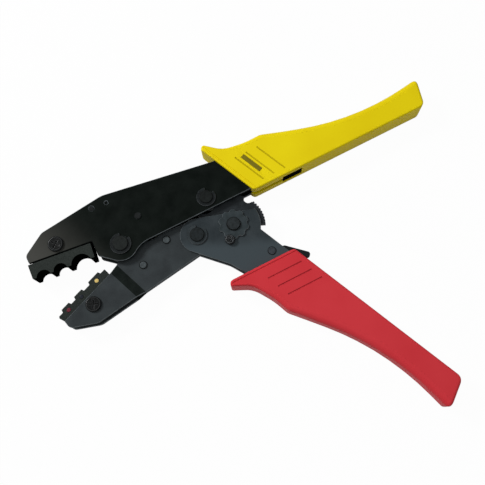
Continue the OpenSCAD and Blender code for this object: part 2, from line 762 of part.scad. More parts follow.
// Toggle link with the ratchet sector, turning on the adjuster pin
link_thick_half = core_half;
link_lobe_r = 10;
link_hub_r = 8.5;
link_waist_half = 7.6;
sector_low_a = -17.5;
sector_high_a = 35;
relief_a = 42.5;
relief_at_r = 16.3;
relief_r = 2.5;
rim_end_a = 54;
link_a = heading(adjuster_at - link_at);
tooth_pitch_a = (sector_high_a - sector_low_a) / ratchet_teeth;
tooth_face_share = 0.35;
sector_teeth = [for (k = [0:ratchet_teeth - 1])
  let (a = sector_low_a + k * tooth_pitch_a)
  each [adjuster_at + polar(ratchet_r, a),
    adjuster_at + polar(ratchet_r, a + tooth_pitch_a * tooth_face_share),
    adjuster_at + polar(ratchet_r - ratchet_tooth_h, a + tooth_pitch_a * 2 * tooth_face_share)]];
sector_rim = arc(adjuster_at, ratchet_r, sector_high_a, rim_end_a);
link_outline = concat([adjuster_at + polar(link_hub_r, sector_low_a)], sector_teeth, sector_rim,
  [link_at + polar(link_waist_half, link_a + 90), link_at + polar(link_waist_half, link_a - 90),
    adjuster_at + polar(link_waist_half, link_a - 90)]);
// The link pin has room on one side of its eye for the path of the coupled joints
eye_slot = [-2, -3];
eye_clear = 1;
module toggle_link() {
  color("#2b2f31") difference() {
    union() {
      slab(-link_thick_half, link_thick_half) polygon(link_outline);
      rod(link_at, link_lobe_r, -link_thick_half, link_thick_half);
      rod(adjuster_at, link_hub_r, -link_thick_half, link_thick_half);
    }
    round_hole(adjuster_at, adjuster_pin_d);
    bar(link_at, link_at + eye_slot, link_pin_d + 2 * eye_clear, -far, far);
    rod(adjuster_at + polar(relief_at_r, relief_a), relief_r, -far, far);
  }
}

// Pawl: nose towards the sector, release lever out of the grip's slit, forked tail for its spring
pawl_hub_w = 1.8;
pawl_hub_r = pawl_pin_d / 2 + pawl_hub_w;
nose_clear = 0.6;
nose_len = norm(adjuster_at - pawl_at) - ratchet_r - nose_clear;
nose_a = heading(adjuster_at - pawl_at);
nose_w = 1.6;
nose_root_w = 7.5;
lever_knee_r = 6.8;
lever_a = -5;
lever_len = 13.4;
lever_tip_a = -36;
lever_w = 3;
lever_tip = pawl_at + polar(lever_knee_r, lever_a) + polar(lever_len, lever_tip_a);
tail_len = 6.25;
tail_a = heading(pawl_spring_post_at - pawl_at);
tail_at = pawl_at + polar(tail_len, tail_a);
tail_w = 4.2;
tail_end = 1.8;
tail_r = 2;
tail_pin_d = 1.2;
fork_gap = 1.4;
lever_tip_r = 1.4;
// One side of the bent lever, left (1) or right (-1) of its middle line
function lever_side(side) =
  let (p = pawl_at + polar(lever_w / 2, lever_a + side * 90),
    q = lever_tip + polar(lever_w / 2, lever_tip_a + side * 90))
  [concat(p, 0), concat(meet(p, lever_a, q, lever_tip_a), lever_tip_r), concat(q, lever_tip_r)];
lever_outline = rounded(concat(lever_side(-1), [for (k = [2:-1:0]) lever_side(1)[k]]));
tail_outline = rounded([[0, -tail_w / 2, 0], [tail_len + tail_end, -tail_w / 2, tail_r],
  [tail_len + tail_end, tail_w / 2, tail_r], [0, tail_w / 2, 0]]);
module ratchet_pawl() {
  color("#202325") {
    difference() {
      union() {
        rod(pawl_at, pawl_hub_r, -pawl_t / 2, pawl_t / 2);
        slab(-pawl_t / 2, pawl_t / 2) translate(pawl_at) rotate(nose_a)
          polygon([[0, -nose_root_w / 2], [nose_len, -nose_w / 2], [nose_len, nose_w / 2],
            [0, nose_root_w / 2]]);
        slab(-pawl_t / 2, pawl_t / 2) polygon(lever_outline);
        slab(-pawl_t / 2, pawl_t / 2) translate(pawl_at) rotate(tail_a) polygon(tail_outline);
      }
      round_hole(pawl_at, pawl_pin_d);
      rod(tail_at, tail_w / 2 + tail_end, -fork_gap / 2, fork_gap / 2);
    }
    rod(tail_at, tail_pin_d / 2, -pawl_t / 2, pawl_t / 2);
  }
}

// Tension spring: an open hook on the post at p, close turns, an open hook on the post at q
wire_clear = 0.1;
hook_lead = 0.8;
hook_steps = 8;
turn_steps = 8;
wire_sides = 6;
function in_plane(p, u, s, w) = [p.x + u.x * s - u.y * w, p.y + u.y * s + u.x * w, mid];
function spring_path(p, q, r_p, r_q, coil_r, coil_from, pitch, turns) =
  let (u = unit(q - p), span = norm(q - p), n = turns * turn_steps)
  concat(
    [in_plane(p, u, hook_lead, r_p)],
    [for (i = [0:hook_steps]) let (a = 90 + 180 * i / hook_steps) in_plane(p, u, r_p * cos(a), r_p * sin(a))],
    [for (i = [0:n]) let (a = 360 * i / turn_steps)
      in_plane(p, u, coil_from + pitch * i / turn_steps, -coil_r * cos(a)) + [0, 0, coil_r * sin(a)]],
    [for (i = [0:hook_steps]) let (a = -90 + 180 * i / hook_steps)
      in_plane(p, u, span + r_q * cos(a), r_q * sin(a))],
    [in_plane(p, u, span - hook_lead, r_q)]);
// Ring normals carried along the path without twist
function flat(v, t) = unit(v - (v * t) * t);
function tangent(path, i) = unit(path[min(i + 1, len(path) - 1)] - path[max(i - 1, 0)]);
function carried(path, i, v) =
  let (w = flat(v, tangent(path, i))) i == len(path) - 1 ? [w] : concat([w], carried(path, i + 1, w));
module wire(path, d) {
  normals = carried(path, 0, [0, 0, 1]);
  rings = len(path);
  points = [for (i = [0:rings - 1], k = [0:wire_sides - 1])
    let (t = tangent(path, i), a = 360 * k / wire_sides)
    path[i] + d / 2 * (cos(a) * normals[i] + sin(a) * cross(t, normals[i]))];
  sides = [for (i = [0:rings - 2], k = [0:wire_sides - 1])
    let (a = i * wire_sides + k, b = i * wire_sides + (k + 1) % wire_sides)
    each [[a, a + wire_sides, b], [b, a + wire_sides, b + wire_sides]]];
  last = (rings - 1) * wire_sides;
  ends = [for (k = [1:wire_sides - 2]) each [[0, k, k + 1], [last, last + k + 1, last + k]]];
  polyhedron(points, concat(sides, ends));
}
// Least gap between turns that lie most of a turn or more apart along the wire
function wire_gap(path, d) =
  min([for (i = [0:len(path) - 1], j = [i + turn_steps - 2:1:len(path) - 1]) norm(path[i] - path[j])]) - d;
spring_turns = 5;
spring_pitch = 1.3;
return_wire_d = jaw_gap - 2 * wire_clear;
return_hook_r = post_d / 2 + return_wire_d / 2 + wire_clear;
return_coil_from = 2.6;
return_path = spring_path(post_at, turned(jaw_rivet_a, jaw_open), return_hook_r, return_hook_r,
  return_hook_r, return_coil_from, spring_pitch, spring_turns);
module return_spring() {
  color("#6d7173") wire(return_path, return_wire_d);
}
pawl_wire_d = 0.6;
pawl_post_hook_r = pawl_post_d / 2 + pawl_wire_d / 2 + wire_clear;
pawl_tail_hook_r = tail_pin_d / 2 + pawl_wire_d / 2 + wire_clear;
pawl_coil_from = 4;
pawl_path = spring_path(tail_at, pawl_spring_post_at, pawl_tail_hook_r, pawl_post_hook_r,
  pawl_post_hook_r, pawl_coil_from, spring_pitch, spring_turns);
module pawl_spring() {
  color("#6d7173") wire(pawl_path, pawl_wire_d);
}
echo(return_spring_gap = wire_gap(return_path, return_wire_d));
echo(pawl_spring_gap = wire_gap(pawl_path, pawl_wire_d));

// The whole plier stands with the middle of its plan box over the origin
fixed_plan = [for (p = grip_outline) on_fixed(p.x, p.y)];
handle_plan = [for (p = grip_outline) on_handle(p.x, p.y)];
plan_low = [min([for (p = upper_die_outline) p.x]), min([for (p = handle_plan) p.y])];
plan_high = [max([for (p = fixed_plan) p.x]), max([for (p = fixed_plan) p.y])];
module placed() {
  translate([-(plan_low.x + plan_high.x) / 2, -(plan_low.y + plan_high.y) / 2, 0]) children();
}

placed() frame_plate_front();
placed() frame_plate_back();
placed() frame_spacer();
placed() front_sleeve();
placed() frame_rivets();
placed() spring_post();
placed() upper_die();
placed() upper_die_screw();
placed() upper_die_nut();
placed() fixed_grip();
placed() main_pin();
placed() main_clips();
placed() pivot_washers();
placed() link_pin();
placed() link_clips();
placed() link_collars();
placed() return_spring();
placed() jaw_plate_front();
placed() jaw_plate_back();
placed() jaw_spacer();
placed() jaw_rivets();
placed() lower_die();
placed() lower_die_screw();
placed() lower_die_nut();
placed() knee_pin();
placed() knee_clips();
placed() handle_plate_front();
placed() handle_plate_back();
placed() handle_spacer();
placed() handle_rivets();
placed() handle_grip();
placed() adjuster_pin();
placed() adjuster_wheel();
placed() adjuster_clip();
placed() lock_screw();
placed() pawl_pin();
placed() pawl_washers();
placed() pawl_spring();
placed() pawl_spring_post();
placed() toggle_link();
placed() ratchet_pawl();
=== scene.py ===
import math

import bmesh
import bpy
from mathutils import Matrix, Vector


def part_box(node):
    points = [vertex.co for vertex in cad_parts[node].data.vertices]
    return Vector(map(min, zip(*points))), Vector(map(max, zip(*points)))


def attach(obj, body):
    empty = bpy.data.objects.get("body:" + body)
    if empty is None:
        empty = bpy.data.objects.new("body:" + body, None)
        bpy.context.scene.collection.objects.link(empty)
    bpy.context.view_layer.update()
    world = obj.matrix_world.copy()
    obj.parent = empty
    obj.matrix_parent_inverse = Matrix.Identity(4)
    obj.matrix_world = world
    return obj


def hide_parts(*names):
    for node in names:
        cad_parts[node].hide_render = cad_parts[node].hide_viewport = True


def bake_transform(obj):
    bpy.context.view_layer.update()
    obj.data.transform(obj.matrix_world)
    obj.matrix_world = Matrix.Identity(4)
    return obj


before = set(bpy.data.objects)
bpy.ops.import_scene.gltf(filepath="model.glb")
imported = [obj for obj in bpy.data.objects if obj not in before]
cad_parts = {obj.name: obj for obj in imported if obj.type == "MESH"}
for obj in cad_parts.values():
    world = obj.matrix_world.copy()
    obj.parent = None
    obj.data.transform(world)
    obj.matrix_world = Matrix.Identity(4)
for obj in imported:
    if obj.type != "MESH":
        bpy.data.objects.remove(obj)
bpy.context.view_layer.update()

# Frame plates: two blanked plates of carbon steel that carry the upper die, the pivots and one grip.
# They are tumbled so that their edges break, then black-oxidised and oiled.
# The oxide is nearly black and satin, a little cloudy, and it rubs through to grey along the edges.
MM = 0.001


def linear(hex_code):
    parts = [int(hex_code[i:i + 2], 16) / 255 for i in (0, 2, 4)]
    return tuple(c / 12.92 if c <= 0.04045 else ((c + 0.055) / 1.055) ** 2.4 for c in parts) + (1,)


def put(tree, kind, sockets, **settings):
    node = tree.nodes.new("ShaderNode" + kind)
    for name, value in settings.items():
        setattr(node, name, value)
    for name, value in sockets.items():
        if isinstance(value, bpy.types.NodeSocket):
            tree.links.new(value, node.inputs[name])
        else:
            node.inputs[name].default_value = value
    return node


# Steel under a thin film of oxide or oil: soft clouds and a fine grain, in its colour and in its sheen
def oxide_steel(name, dark, pale, cloud_mm, grain_mm, matt, gloss, metallic=0.0):
    steel = bpy.data.materials.new(name)
    steel.use_nodes = True
    tree = steel.node_tree
    shader = tree.nodes["Principled BSDF"]
    place = put(tree, "TexCoord", {}).outputs["Object"]
    cloud = put(tree, "TexNoise", {"Vector": place, "Scale": 1 / (cloud_mm * MM), "Detail": 4.0})
    grain = put(tree, "TexNoise", {"Vector": place, "Scale": 1 / (grain_mm * MM), "Detail": 2.0})
    mottle = put(tree, "MapRange", {"Value": grain.outputs["Fac"], "To Min": -0.14, "To Max": 0.14})
    mixed = put(tree, "Math", {0: cloud.outputs["Fac"], 1: mottle.outputs["Result"]}, operation="ADD")
    tint = put(tree, "ValToRGB", {"Fac": mixed.outputs["Value"]})
    tint.color_ramp.elements[0].position = 0.32
    tint.color_ramp.elements[0].color = linear(dark)
    tint.color_ramp.elements[1].position = 0.7
    tint.color_ramp.elements[1].color = linear(pale)
    tree.links.new(tint.outputs["Color"], shader.inputs["Base Color"])
    satin = put(tree, "MapRange", {"Value": mixed.outputs["Value"], "From Min": 0.3, "From Max": 0.7,
                                   "To Min": matt - 0.05, "To Max": matt + 0.05})
    tree.links.new(satin.outputs["Result"], shader.inputs["Roughness"])
    relief = put(tree, "Bump", {"Height": grain.outputs["Fac"], "Strength": 0.15, "Distance": 0.02 * MM})
    tree.links.new(relief.outputs["Normal"], shader.inputs["Normal"])
    shader.inputs["Specular IOR Level"].default_value = gloss
    shader.inputs["Metallic"].default_value = metallic
    return steel


def settle(piece, angle):
    bpy.ops.object.select_all(action="DESELECT")
    bpy.context.view_layer.objects.active = piece
    piece.select_set(True)
    bpy.ops.object.shade_smooth_by_angle(angle=math.radians(angle))
    facing = piece.modifiers.new("facing", "WEIGHTED_NORMAL")
    facing.keep_sharp = True
    bpy.ops.object.modifier_apply(modifier=facing.name)


def copied(node, finish, edge_look, merge_mm):
    bpy.ops.object.select_all(action="DESELECT")
    piece = bpy.data.objects.new(node + "_finished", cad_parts[node].data.copy())
    bpy.context.scene.collection.objects.link(piece)
    piece.data.materials.clear()
    piece.data.materials.append(finish)
    piece.data.materials.append(edge_look)
    bpy.context.view_layer.objects.active = piece
    piece.select_set(True)
    bpy.ops.object.mode_set(mode="EDIT")
    bpy.ops.mesh.customdata_custom_splitnormals_clear()
    bpy.ops.mesh.select_mode(type="EDGE")
    bpy.ops.mesh.select_all(action="SELECT")
    bpy.ops.mesh.remove_doubles(threshold=merge_mm * MM)
    bpy.ops.mesh.dissolve_limited(angle_limit=math.radians(0.4))
    bpy.ops.mesh.select_all(action="DESELECT")
    return piece


def fitted(piece, node, body):
    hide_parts(node)
    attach(piece, body)


# Material slots of a plate: its two faces, its broken edges and its sheared walls
FACE, EDGE, WALL = 0, 1, 2
# How much of a normal points along the thickness, at least for a flat, at most for an edge and for a wall
FLAT_LEAN, EDGE_LEAN, WALL_LEAN = 0.82, 0.8, 0.6
PLATE_MERGE_MM = 0.08
PLATE_SMOOTH_DEG = 25


# A plate cut from sheet: both faces are inset and raised again, which leaves a chamfer along every edge
def blanked(node, body, finish, edge_look, wall, edge_mm):
    piece = copied(node, finish, edge_look, PLATE_MERGE_MM)
    piece.data.materials.append(wall)
    bpy.ops.mesh.select_mode(type="FACE")
    for side in (1, -1):
        bpy.ops.mesh.select_all(action="DESELECT")
        shape = bmesh.from_edit_mesh(piece.data)
        for face in shape.faces:
            face.select_set(face.normal.z * side > FLAT_LEAN)
        bmesh.update_edit_mesh(piece.data)
        bpy.ops.transform.translate(value=(0, 0, -side * edge_mm * MM))
        bpy.ops.mesh.inset(thickness=edge_mm * MM, depth=edge_mm * MM)
    for face in bmesh.from_edit_mesh(piece.data).faces:
        lean = abs(face.normal.z)
        face.material_index = WALL if lean < WALL_LEAN else EDGE if lean < EDGE_LEAN else FACE
    bpy.ops.object.mode_set(mode="OBJECT")
    settle(piece, PLATE_SMOOTH_DEG)
    fitted(piece, node, body)
    return piece


# Paints a plate paler along one way, from one distance to the next: a painted sheen on the frame's nose
def paled_along(steel, way, paling_from_mm, paling_to_mm, pale):
    tree = steel.node_tree
    shader = tree.nodes["Principled BSDF"]
    place = tree.nodes["Texture Coordinate"].outputs["Object"]
    along = put(tree, "VectorMath", {0: place, 1: way}, operation="DOT_PRODUCT")
    share = put(tree, "MapRange", {"Value": along.outputs["Value"], "From Min": paling_from_mm * MM,
                                   "From Max": paling_to_mm * MM}, interpolation_type="SMOOTHSTEP")
    oiled = shader.inputs["Base Color"].links[0].from_socket
    paler_mix = put(tree, "MixRGB", {"Fac": share.outputs["Result"], "Color1": oiled, "Color2": linear(pale)})
    tree.links.new(paler_mix.outputs["Color"], shader.inputs["Base Color"])


def centre(node):
    low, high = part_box(node)
    return (low + high) / 2


PIVOT = Vector((*centre("main_pin").xy, 0))
# The plates' edge beside the die lies ahead of this point and below it.
SEAT_LIMIT = PIVOT + Vector((-11.7, 7.5, 0)) * MM
# Nearly black and satin, with a painted sheen that greys it towards the tip
frame_oxide = oxide_steel("satin_black_oxide_frame", "080c0a", "111513",
                          cloud_mm=7, grain_mm=0.6, matt=0.42, gloss=0.015)
paled_along(frame_oxide, (-1, -0.5, 0), paling_from_mm=42, paling_to_mm=84, pale="3c3c39")
# Rubbed edges: a thin grey line with a metal glint
rubbed_oxide = oxide_steel("rubbed_black_oxide_edge", "383e40", "585f62",
                           cloud_mm=3, grain_mm=0.5, matt=0.36, gloss=0.4, metallic=0.4)
# Sheared walls: black and rough, without a glint; the black paints the shade on the plates' sides
wall_shade_oxide = oxide_steel("black_oxide_wall_painted_shade", "0a0c0c", "131616",
                            cloud_mm=3, grain_mm=0.5, matt=0.5, gloss=0.02)
for node in ("frame_plate_front", "frame_plate_back"):
    plate = blanked(node, "frame", frame_oxide, rubbed_oxide, wall_shade_oxide, edge_mm=0.28)
    # The edge beside the die takes the wall's black, as painted shade in the gap between plate and die.
    for face in plate.data.polygons:
        beside_die = face.center.x < SEAT_LIMIT.x and face.center.y < SEAT_LIMIT.y
        if beside_die and face.material_index == EDGE:
            face.material_index = WALL

# Sleeve, tang spacer, rivets and spring post: turned and cropped steel that holds the frame plates apart.
# The pieces are oiled and not plated, and the ends of the rivets are level with the plates.
TURNED_MERGE_MM = 0.002
CORNER_DEG = 38
TURNED_SMOOTH_DEG = 33


# A piece off the lathe or the mill: every sharp corner is broken by a small round
def turned(node, body, finish, edge_look, edge_mm):
    piece = copied(node, finish, edge_look, TURNED_MERGE_MM)
    bpy.ops.mesh.edges_select_sharp(sharpness=math.radians(CORNER_DEG))
    bpy.ops.mesh.bevel(offset=edge_mm * MM, segments=2, clamp_overlap=False, material=EDGE)
    bpy.ops.object.mode_set(mode="OBJECT")
    settle(piece, TURNED_SMOOTH_DEG)
    fitted(piece, node, body)
    return piece


# Bare oiled steel: mid grey with a soft metal sheen
spacer_steel = oxide_steel("oiled_mild_steel_spacer", "3f4346", "54585b",
                           cloud_mm=4, grain_mm=0.5, matt=0.38, gloss=0.5, metallic=0.6)
# Rivets: nearly black, with a faint oily glint
rivet_steel = oxide_steel("oiled_dark_rivet_steel", "0b0d0d", "151819",
                          cloud_mm=2, grain_mm=0.4, matt=0.4, gloss=0.06)
# Tangs: flat black, as they show only in the slit of a grip
tang_black = oxide_steel("black_oxide_tang_steel", "060707", "0c0e0d",
                         cloud_mm=4, grain_mm=0.5, matt=0.6, gloss=0.0)
turned("front_sleeve", "frame", spacer_steel, spacer_steel, edge_mm=0.2)
blanked("frame_spacer", "frame", tang_black, tang_black, tang_black, edge_mm=0.15)
turned("frame_rivets", "frame", rivet_steel, rivet_steel, edge_mm=0.2)
turned("spring_post", "frame", rivet_steel, rivet_steel, edge_mm=0.08)

# Upper die: a block of tool steel with three round nests, wire-cut and then blackened.
# The cut leaves fine straight lines across the thickness, and the blackening is matt.
# Its tongue goes between the frame plates, where one screw holds it.
DIE_GRAIN_MM = 0.5
# A wire cut leaves lines about 0.05 mm apart, drawn at 0.5 mm so that they show.
DIE_LINE_MM = 0.5
die_black = bpy.data.materials.new("wire_cut_blackened_tool_steel")
die_black.use_nodes = True
die_tree = die_black.node_tree
die_shader = die_tree.nodes["Principled BSDF"]
die_place = put(die_tree, "TexCoord", {}).outputs["Object"]
die_grain = put(die_tree, "TexNoise", {"Vector": die_place, "Scale": 1 / (DIE_GRAIN_MM * MM), "Detail": 3.0})
die_lines = put(die_tree, "TexWave", {"Vector": die_place, "Scale": 1 / (DIE_LINE_MM * MM * math.tau),
                                      "Distortion": 0.6}, wave_type="BANDS", bands_direction="Z")
die_tint = put(die_tree, "ValToRGB", {"Fac": die_grain.outputs["Fac"]})
die_tint.color_ramp.elements[0].position = 0.3
die_tint.color_ramp.elements[0].color = linear("1c201e")
die_tint.color_ramp.elements[1].position = 0.72
die_tint.color_ramp.elements[1].color = linear("2e3230")
die_tree.links.new(die_tint.outputs["Color"], die_shader.inputs["Base Color"])
die_matt = put(die_tree, "MapRange", {"Value": die_grain.outputs["Fac"], "To Min": 0.45, "To Max": 0.65})
die_tree.links.new(die_matt.outputs["Result"], die_shader.inputs["Roughness"])
die_relief = put(die_tree, "Bump", {"Height": die_lines.outputs["Fac"], "Strength": 0.2,
                                    "Distance": 0.02 * MM})
die_tree.links.new(die_relief.outputs["Normal"], die_shader.inputs["Normal"])
die_shader.inputs["Specular IOR Level"].default_value = 0.02
# Nest walls: all but black, darker than the faces, as painted shade in the nests
nest_shade_black = oxide_steel("nest_wall_painted_shade", "020302", "060706",
                         cloud_mm=2, grain_mm=0.4, matt=0.5, gloss=0.0)


# Every wall of a die, in its nests and round its sides, takes the painted shade of the nest walls.
def darken_walls(die):
    for face in die.data.polygons:
        face.material_index = EDGE if abs(face.normal.z) < WALL_LEAN else FACE


upper_die = turned("upper_die", "frame", die_black, nest_shade_black, edge_mm=0.08)
darken_walls(upper_die)
# The front is ground flat, so no broken edge stands past it.
die_front = min(point.co.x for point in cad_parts["upper_die"].data.vertices)
for point in upper_die.data.vertices:
    point.co.x = max(point.co.x, die_front)

# Die screws and nuts: cold-headed, cross-recessed, blackened and oiled.
# The heads are the blackest pieces, with a wet glint on their rims.
SCREW_EDGE_MM = 0.16
# Beside the screws' own black, this paints shade on the rounded pin ends, on clip and wheel walls and round
# the jaw rivets.
screw_black_and_shade = oxide_steel("black_screw_steel_and_painted_shade", "050606", "0c0e0e",
                          cloud_mm=1.5, grain_mm=0.4, matt=0.45, gloss=0.05)
screw_rim = oxide_steel("oiled_black_screw_rim", "0e1011", "1a1d1e",
                        cloud_mm=1.5, grain_mm=0.4, matt=0.34, gloss=0.25)
for node in ("upper_die_screw", "upper_die_nut"):
    turned(node, "frame", screw_black_and_shade, screw_rim, SCREW_EDGE_MM)

# Pivot pins and their clips: pins turned from bar, with a groove at each end for a sprung clip.
# The turning tool leaves fine rings round each end face, and the clips are blanked spring steel.
# Washers and collars on the pins fill the room between the plates.
STAIN_MM = 1.5
# Tool marks are about 0.1 mm apart, drawn at 0.45 mm so that they show.
TOOL_MARK_MM = 0.45
PIN_EDGE_MM = 0.35
CLIP_EDGE_MM = 0.18


# Steel off the lathe, oiled dark: faint rings round the pin's own axis catch the light
def turned_steel(name, node, dark, pale):
    steel = bpy.data.materials.new(name)
    steel.use_nodes = True
    tree = steel.node_tree
    shader = tree.nodes["Principled BSDF"]
    place = put(tree, "TexCoord", {}).outputs["Object"]
    centred = put(tree, "Mapping", {"Vector": place, "Location": -centre(node)})
    rings = put(tree, "TexWave", {"Vector": centred.outputs["Vector"], "Distortion": 0.4,
                                  "Scale": 1 / (TOOL_MARK_MM * MM * math.tau)},
                wave_type="RINGS", rings_direction="Z")
    stain = put(tree, "TexNoise", {"Vector": place, "Scale": 1 / (STAIN_MM * MM), "Detail": 3.0})
    tint = put(tree, "ValToRGB", {"Fac": stain.outputs["Fac"]})
    tint.color_ramp.elements[0].position = 0.35
    tint.color_ramp.elements[0].color = linear(dark)
    tint.color_ramp.elements[1].position = 0.7
    tint.color_ramp.elements[1].color = linear(pale)
    tree.links.new(tint.outputs["Color"], shader.inputs["Base Color"])
    satin = put(tree, "MapRange", {"Value": rings.outputs["Fac"], "To Min": 0.3, "To Max": 0.42})
    tree.links.new(satin.outputs["Result"], shader.inputs["Roughness"])
    relief = put(tree, "Bump", {"Height": rings.outputs["Fac"], "Strength": 0.2, "Distance": 0.02 * MM})
    tree.links.new(relief.outputs["Normal"], shader.inputs["Normal"])
    shader.inputs["Specular IOR Level"].default_value = 0.06
    return steel


# Clips: black and oily, with edges rubbed to a dark metal grey
clip_steel = oxide_steel("oiled_black_spring_steel_clip", "0e1112", "181c1d",
                         cloud_mm=2, grain_mm=0.5, matt=0.4, gloss=0.06)
clip_edge = oxide_steel("rubbed_spring_steel_edge", "1c2022", "363b3e",
                        cloud_mm=2, grain_mm=0.5, matt=0.32, gloss=0.5, metallic=0.3)
main_pin_steel = turned_steel("turned_oiled_main_pin_steel", "main_pin", "111413", "1a1e1d")
# The pins' rounded ends take the screws' black as a painted shade ring.
turned("main_pin", "frame", main_pin_steel, screw_black_and_shade, PIN_EDGE_MM)
link_pin_steel = turned_steel("turned_oiled_link_pin_steel", "link_pin", "0c0f0e", "151918")
turned("link_pin", "frame", link_pin_steel, screw_black_and_shade, PIN_EDGE_MM)
# The clips' walls take the screws' black as painted shade.
for node in ("main_clips", "link_clips"):
    blanked(node, "frame", clip_steel, clip_edge, screw_black_and_shade, CLIP_EDGE_MM)
for node in ("pivot_washers", "link_collars"):
    turned(node, "frame", spacer_steel, spacer_steel, edge_mm=0.12)

# Return spring: hard-drawn wire coiled with a hook at each end, from the frame's post to a rivet of the jaw.
# The CAD wire has flat sides, so the copy is subdivided to the round wire of the real one.
# The frame holds one end and the jaw pulls the other.
QUAD_DEG = 60
ROUNDING_LEVELS = 2
# Drawn wire: bright grey, with the clear sheen of bare steel
spring_wire = oxide_steel("hard_drawn_spring_wire", "5a5e61", "7b8083",
                          cloud_mm=2, grain_mm=0.4, matt=0.3, gloss=0.5, metallic=0.8)


def wound_wire(node):
    bpy.ops.object.select_all(action="DESELECT")
    coil = bpy.data.objects.new(node + "_finished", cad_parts[node].data.copy())
    bpy.context.scene.collection.objects.link(coil)
    coil.data.materials.clear()
    coil.data.materials.append(spring_wire)
    bpy.context.view_layer.objects.active = coil
    coil.select_set(True)
    bpy.ops.object.mode_set(mode="EDIT")
    bpy.ops.mesh.customdata_custom_splitnormals_clear()
    bpy.ops.mesh.select_all(action="SELECT")
    bpy.ops.mesh.remove_doubles(threshold=TURNED_MERGE_MM * MM)
    bpy.ops.mesh.tris_convert_to_quads(face_threshold=math.radians(QUAD_DEG),
                                       shape_threshold=math.radians(QUAD_DEG))
    bpy.ops.object.mode_set(mode="OBJECT")
    rounding = coil.modifiers.new("rounding", "SUBSURF")
    rounding.levels = ROUNDING_LEVELS
    rounding.render_levels = ROUNDING_LEVELS
    bpy.ops.object.modifier_apply(modifier=rounding.name)
    bpy.ops.object.shade_smooth()
    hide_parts(node)
    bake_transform(coil)


wound_wire("return_spring")

# Fixed grip: one half-hard plastic sleeve, moulded and pushed over the frame's tang.
# Its palm edge is well rounded, its inner edge is crisp, and a fine line follows the mouth.
# Three finger lines are cut in each face, and a slit and a window open its inner wall.
FLOW_MM = 28
# Spark-eroded moulds leave a grain of about 0.2 mm, drawn at 0.6 mm so that it shows.
MOULD_GRAIN_MM = 0.6


# Polypropylene: a strong, even colour with faint flow clouds and a soft satin sheen
def grip_plastic(name, face, deep):
    plastic = bpy.data.materials.new(name)
    plastic.use_nodes = True
    tree = plastic.node_tree
    shader = tree.nodes["Principled BSDF"]
    place = put(tree, "TexCoord", {}).outputs["Object"]
    flow = put(tree, "TexNoise", {"Vector": place, "Scale": 1 / (FLOW_MM * MM), "Detail": 2.0})
    grain = put(tree, "TexNoise", {"Vector": place, "Scale": 1 / (MOULD_GRAIN_MM * MM), "Detail": 3.0})
    tint = put(tree, "ValToRGB", {"Fac": flow.outputs["Fac"]})
    tint.color_ramp.elements[0].position = 0.3
    tint.color_ramp.elements[0].color = linear(deep)
    tint.color_ramp.elements[1].position = 0.7
    tint.color_ramp.elements[1].color = linear(face)
    tree.links.new(tint.outputs["Color"], shader.inputs["Base Color"])
    satin = put(tree, "MapRange", {"Value": grain.outputs["Fac"], "To Min": 0.42, "To Max": 0.56})
    tree.links.new(satin.outputs["Result"], shader.inputs["Roughness"])
    relief = put(tree, "Bump", {"Height": grain.outputs["Fac"], "Strength": 0.18, "Distance": 0.03 * MM})
    tree.links.new(relief.outputs["Normal"], shader.inputs["Normal"])
    shader.inputs["IOR"].default_value = 1.49
    shader.inputs["Specular IOR Level"].default_value = 0.05
    return plastic


# The grip in mm, on its own axes: u along its straight inner edge, v out to the palm, z through it.
GRIP_T = 14.0
MOUTH = (-14.6, 33.1)
MOUTH_ANGLE = math.atan2(MOUTH[1], MOUTH[0])
MOUTH_TURN = Matrix.Rotation(math.atan2(-MOUTH[1], -MOUTH[0]), 4, "Z")
END_IN, END_OUT = (102.0, 0.0), (106.1, 16.0)
END_ANGLE = math.atan2(END_OUT[1] - END_IN[1], END_OUT[0] - END_IN[0])
# Corners of the palm edge, each with the radius that rounds it
PALM_CORNERS = [(*MOUTH, 0), (-12.9, 35.4, 1.2), (-4.5, 28, 14), (8, 26.2, 40), (17, 26.6, 6),
                (66.3, 10.4, 135), (*END_OUT, 0)]
ARC_STEP_DEG = 4
ARC_STEPS_LEAST = 6


def palm_edge():
    points = [Vector(PALM_CORNERS[0][:2])]
    for before, here, after in zip(PALM_CORNERS, PALM_CORNERS[1:], PALM_CORNERS[2:]):
        at, r = Vector(here[:2]), here[2]
        back = (Vector(before[:2]) - at).normalized()
        on = (Vector(after[:2]) - at).normalized()
        half = back.angle(on) / 2
        middle = at + (back + on).normalized() * (r / math.sin(half))
        first = at + back * (r / math.tan(half)) - middle
        sweep = (math.pi - 2 * half) * (1 if back.cross(on) < 0 else -1)
        steps = max(ARC_STEPS_LEAST, math.ceil(math.degrees(abs(sweep)) / ARC_STEP_DEG))
        start = math.atan2(first.y, first.x)
        for i in range(steps + 1):
            turn = start + sweep * i / steps
            points.append(middle + r * Vector((math.cos(turn), math.sin(turn))))
    return points + [Vector(PALM_CORNERS[-1][:2])]


# The distance from the inner edge at u to the palm edge, at an angle across the grip
def across(u, angle, edge):
    start, way = Vector((u, 0.0)), Vector((math.cos(angle), math.sin(angle)))
    best = None
    for p, q in zip(edge, edge[1:]):
        side = q - p
        area = way.cross(side)
        if abs(area) < 1e-9:
            continue
        reach, share = (p - start).cross(side) / area, (p - start).cross(way) / area
        if -1e-6 <= share <= 1 + 1e-6 and reach > 0 and (best is None or reach > best):
            best = reach
    return best


# How far a quarter round of radius r draws the skin in, at a depth x from its edge
def round_in(x, r):
    return 0.0 if x >= r else r - math.sqrt(r * r - (r - x) ** 2)


CORNER_STEPS = 9
# A row of points this close to each rounded corner keeps the shading of the flat even.
CORNER_MARGIN = 0.3
LEVEL_GAP = 0.05


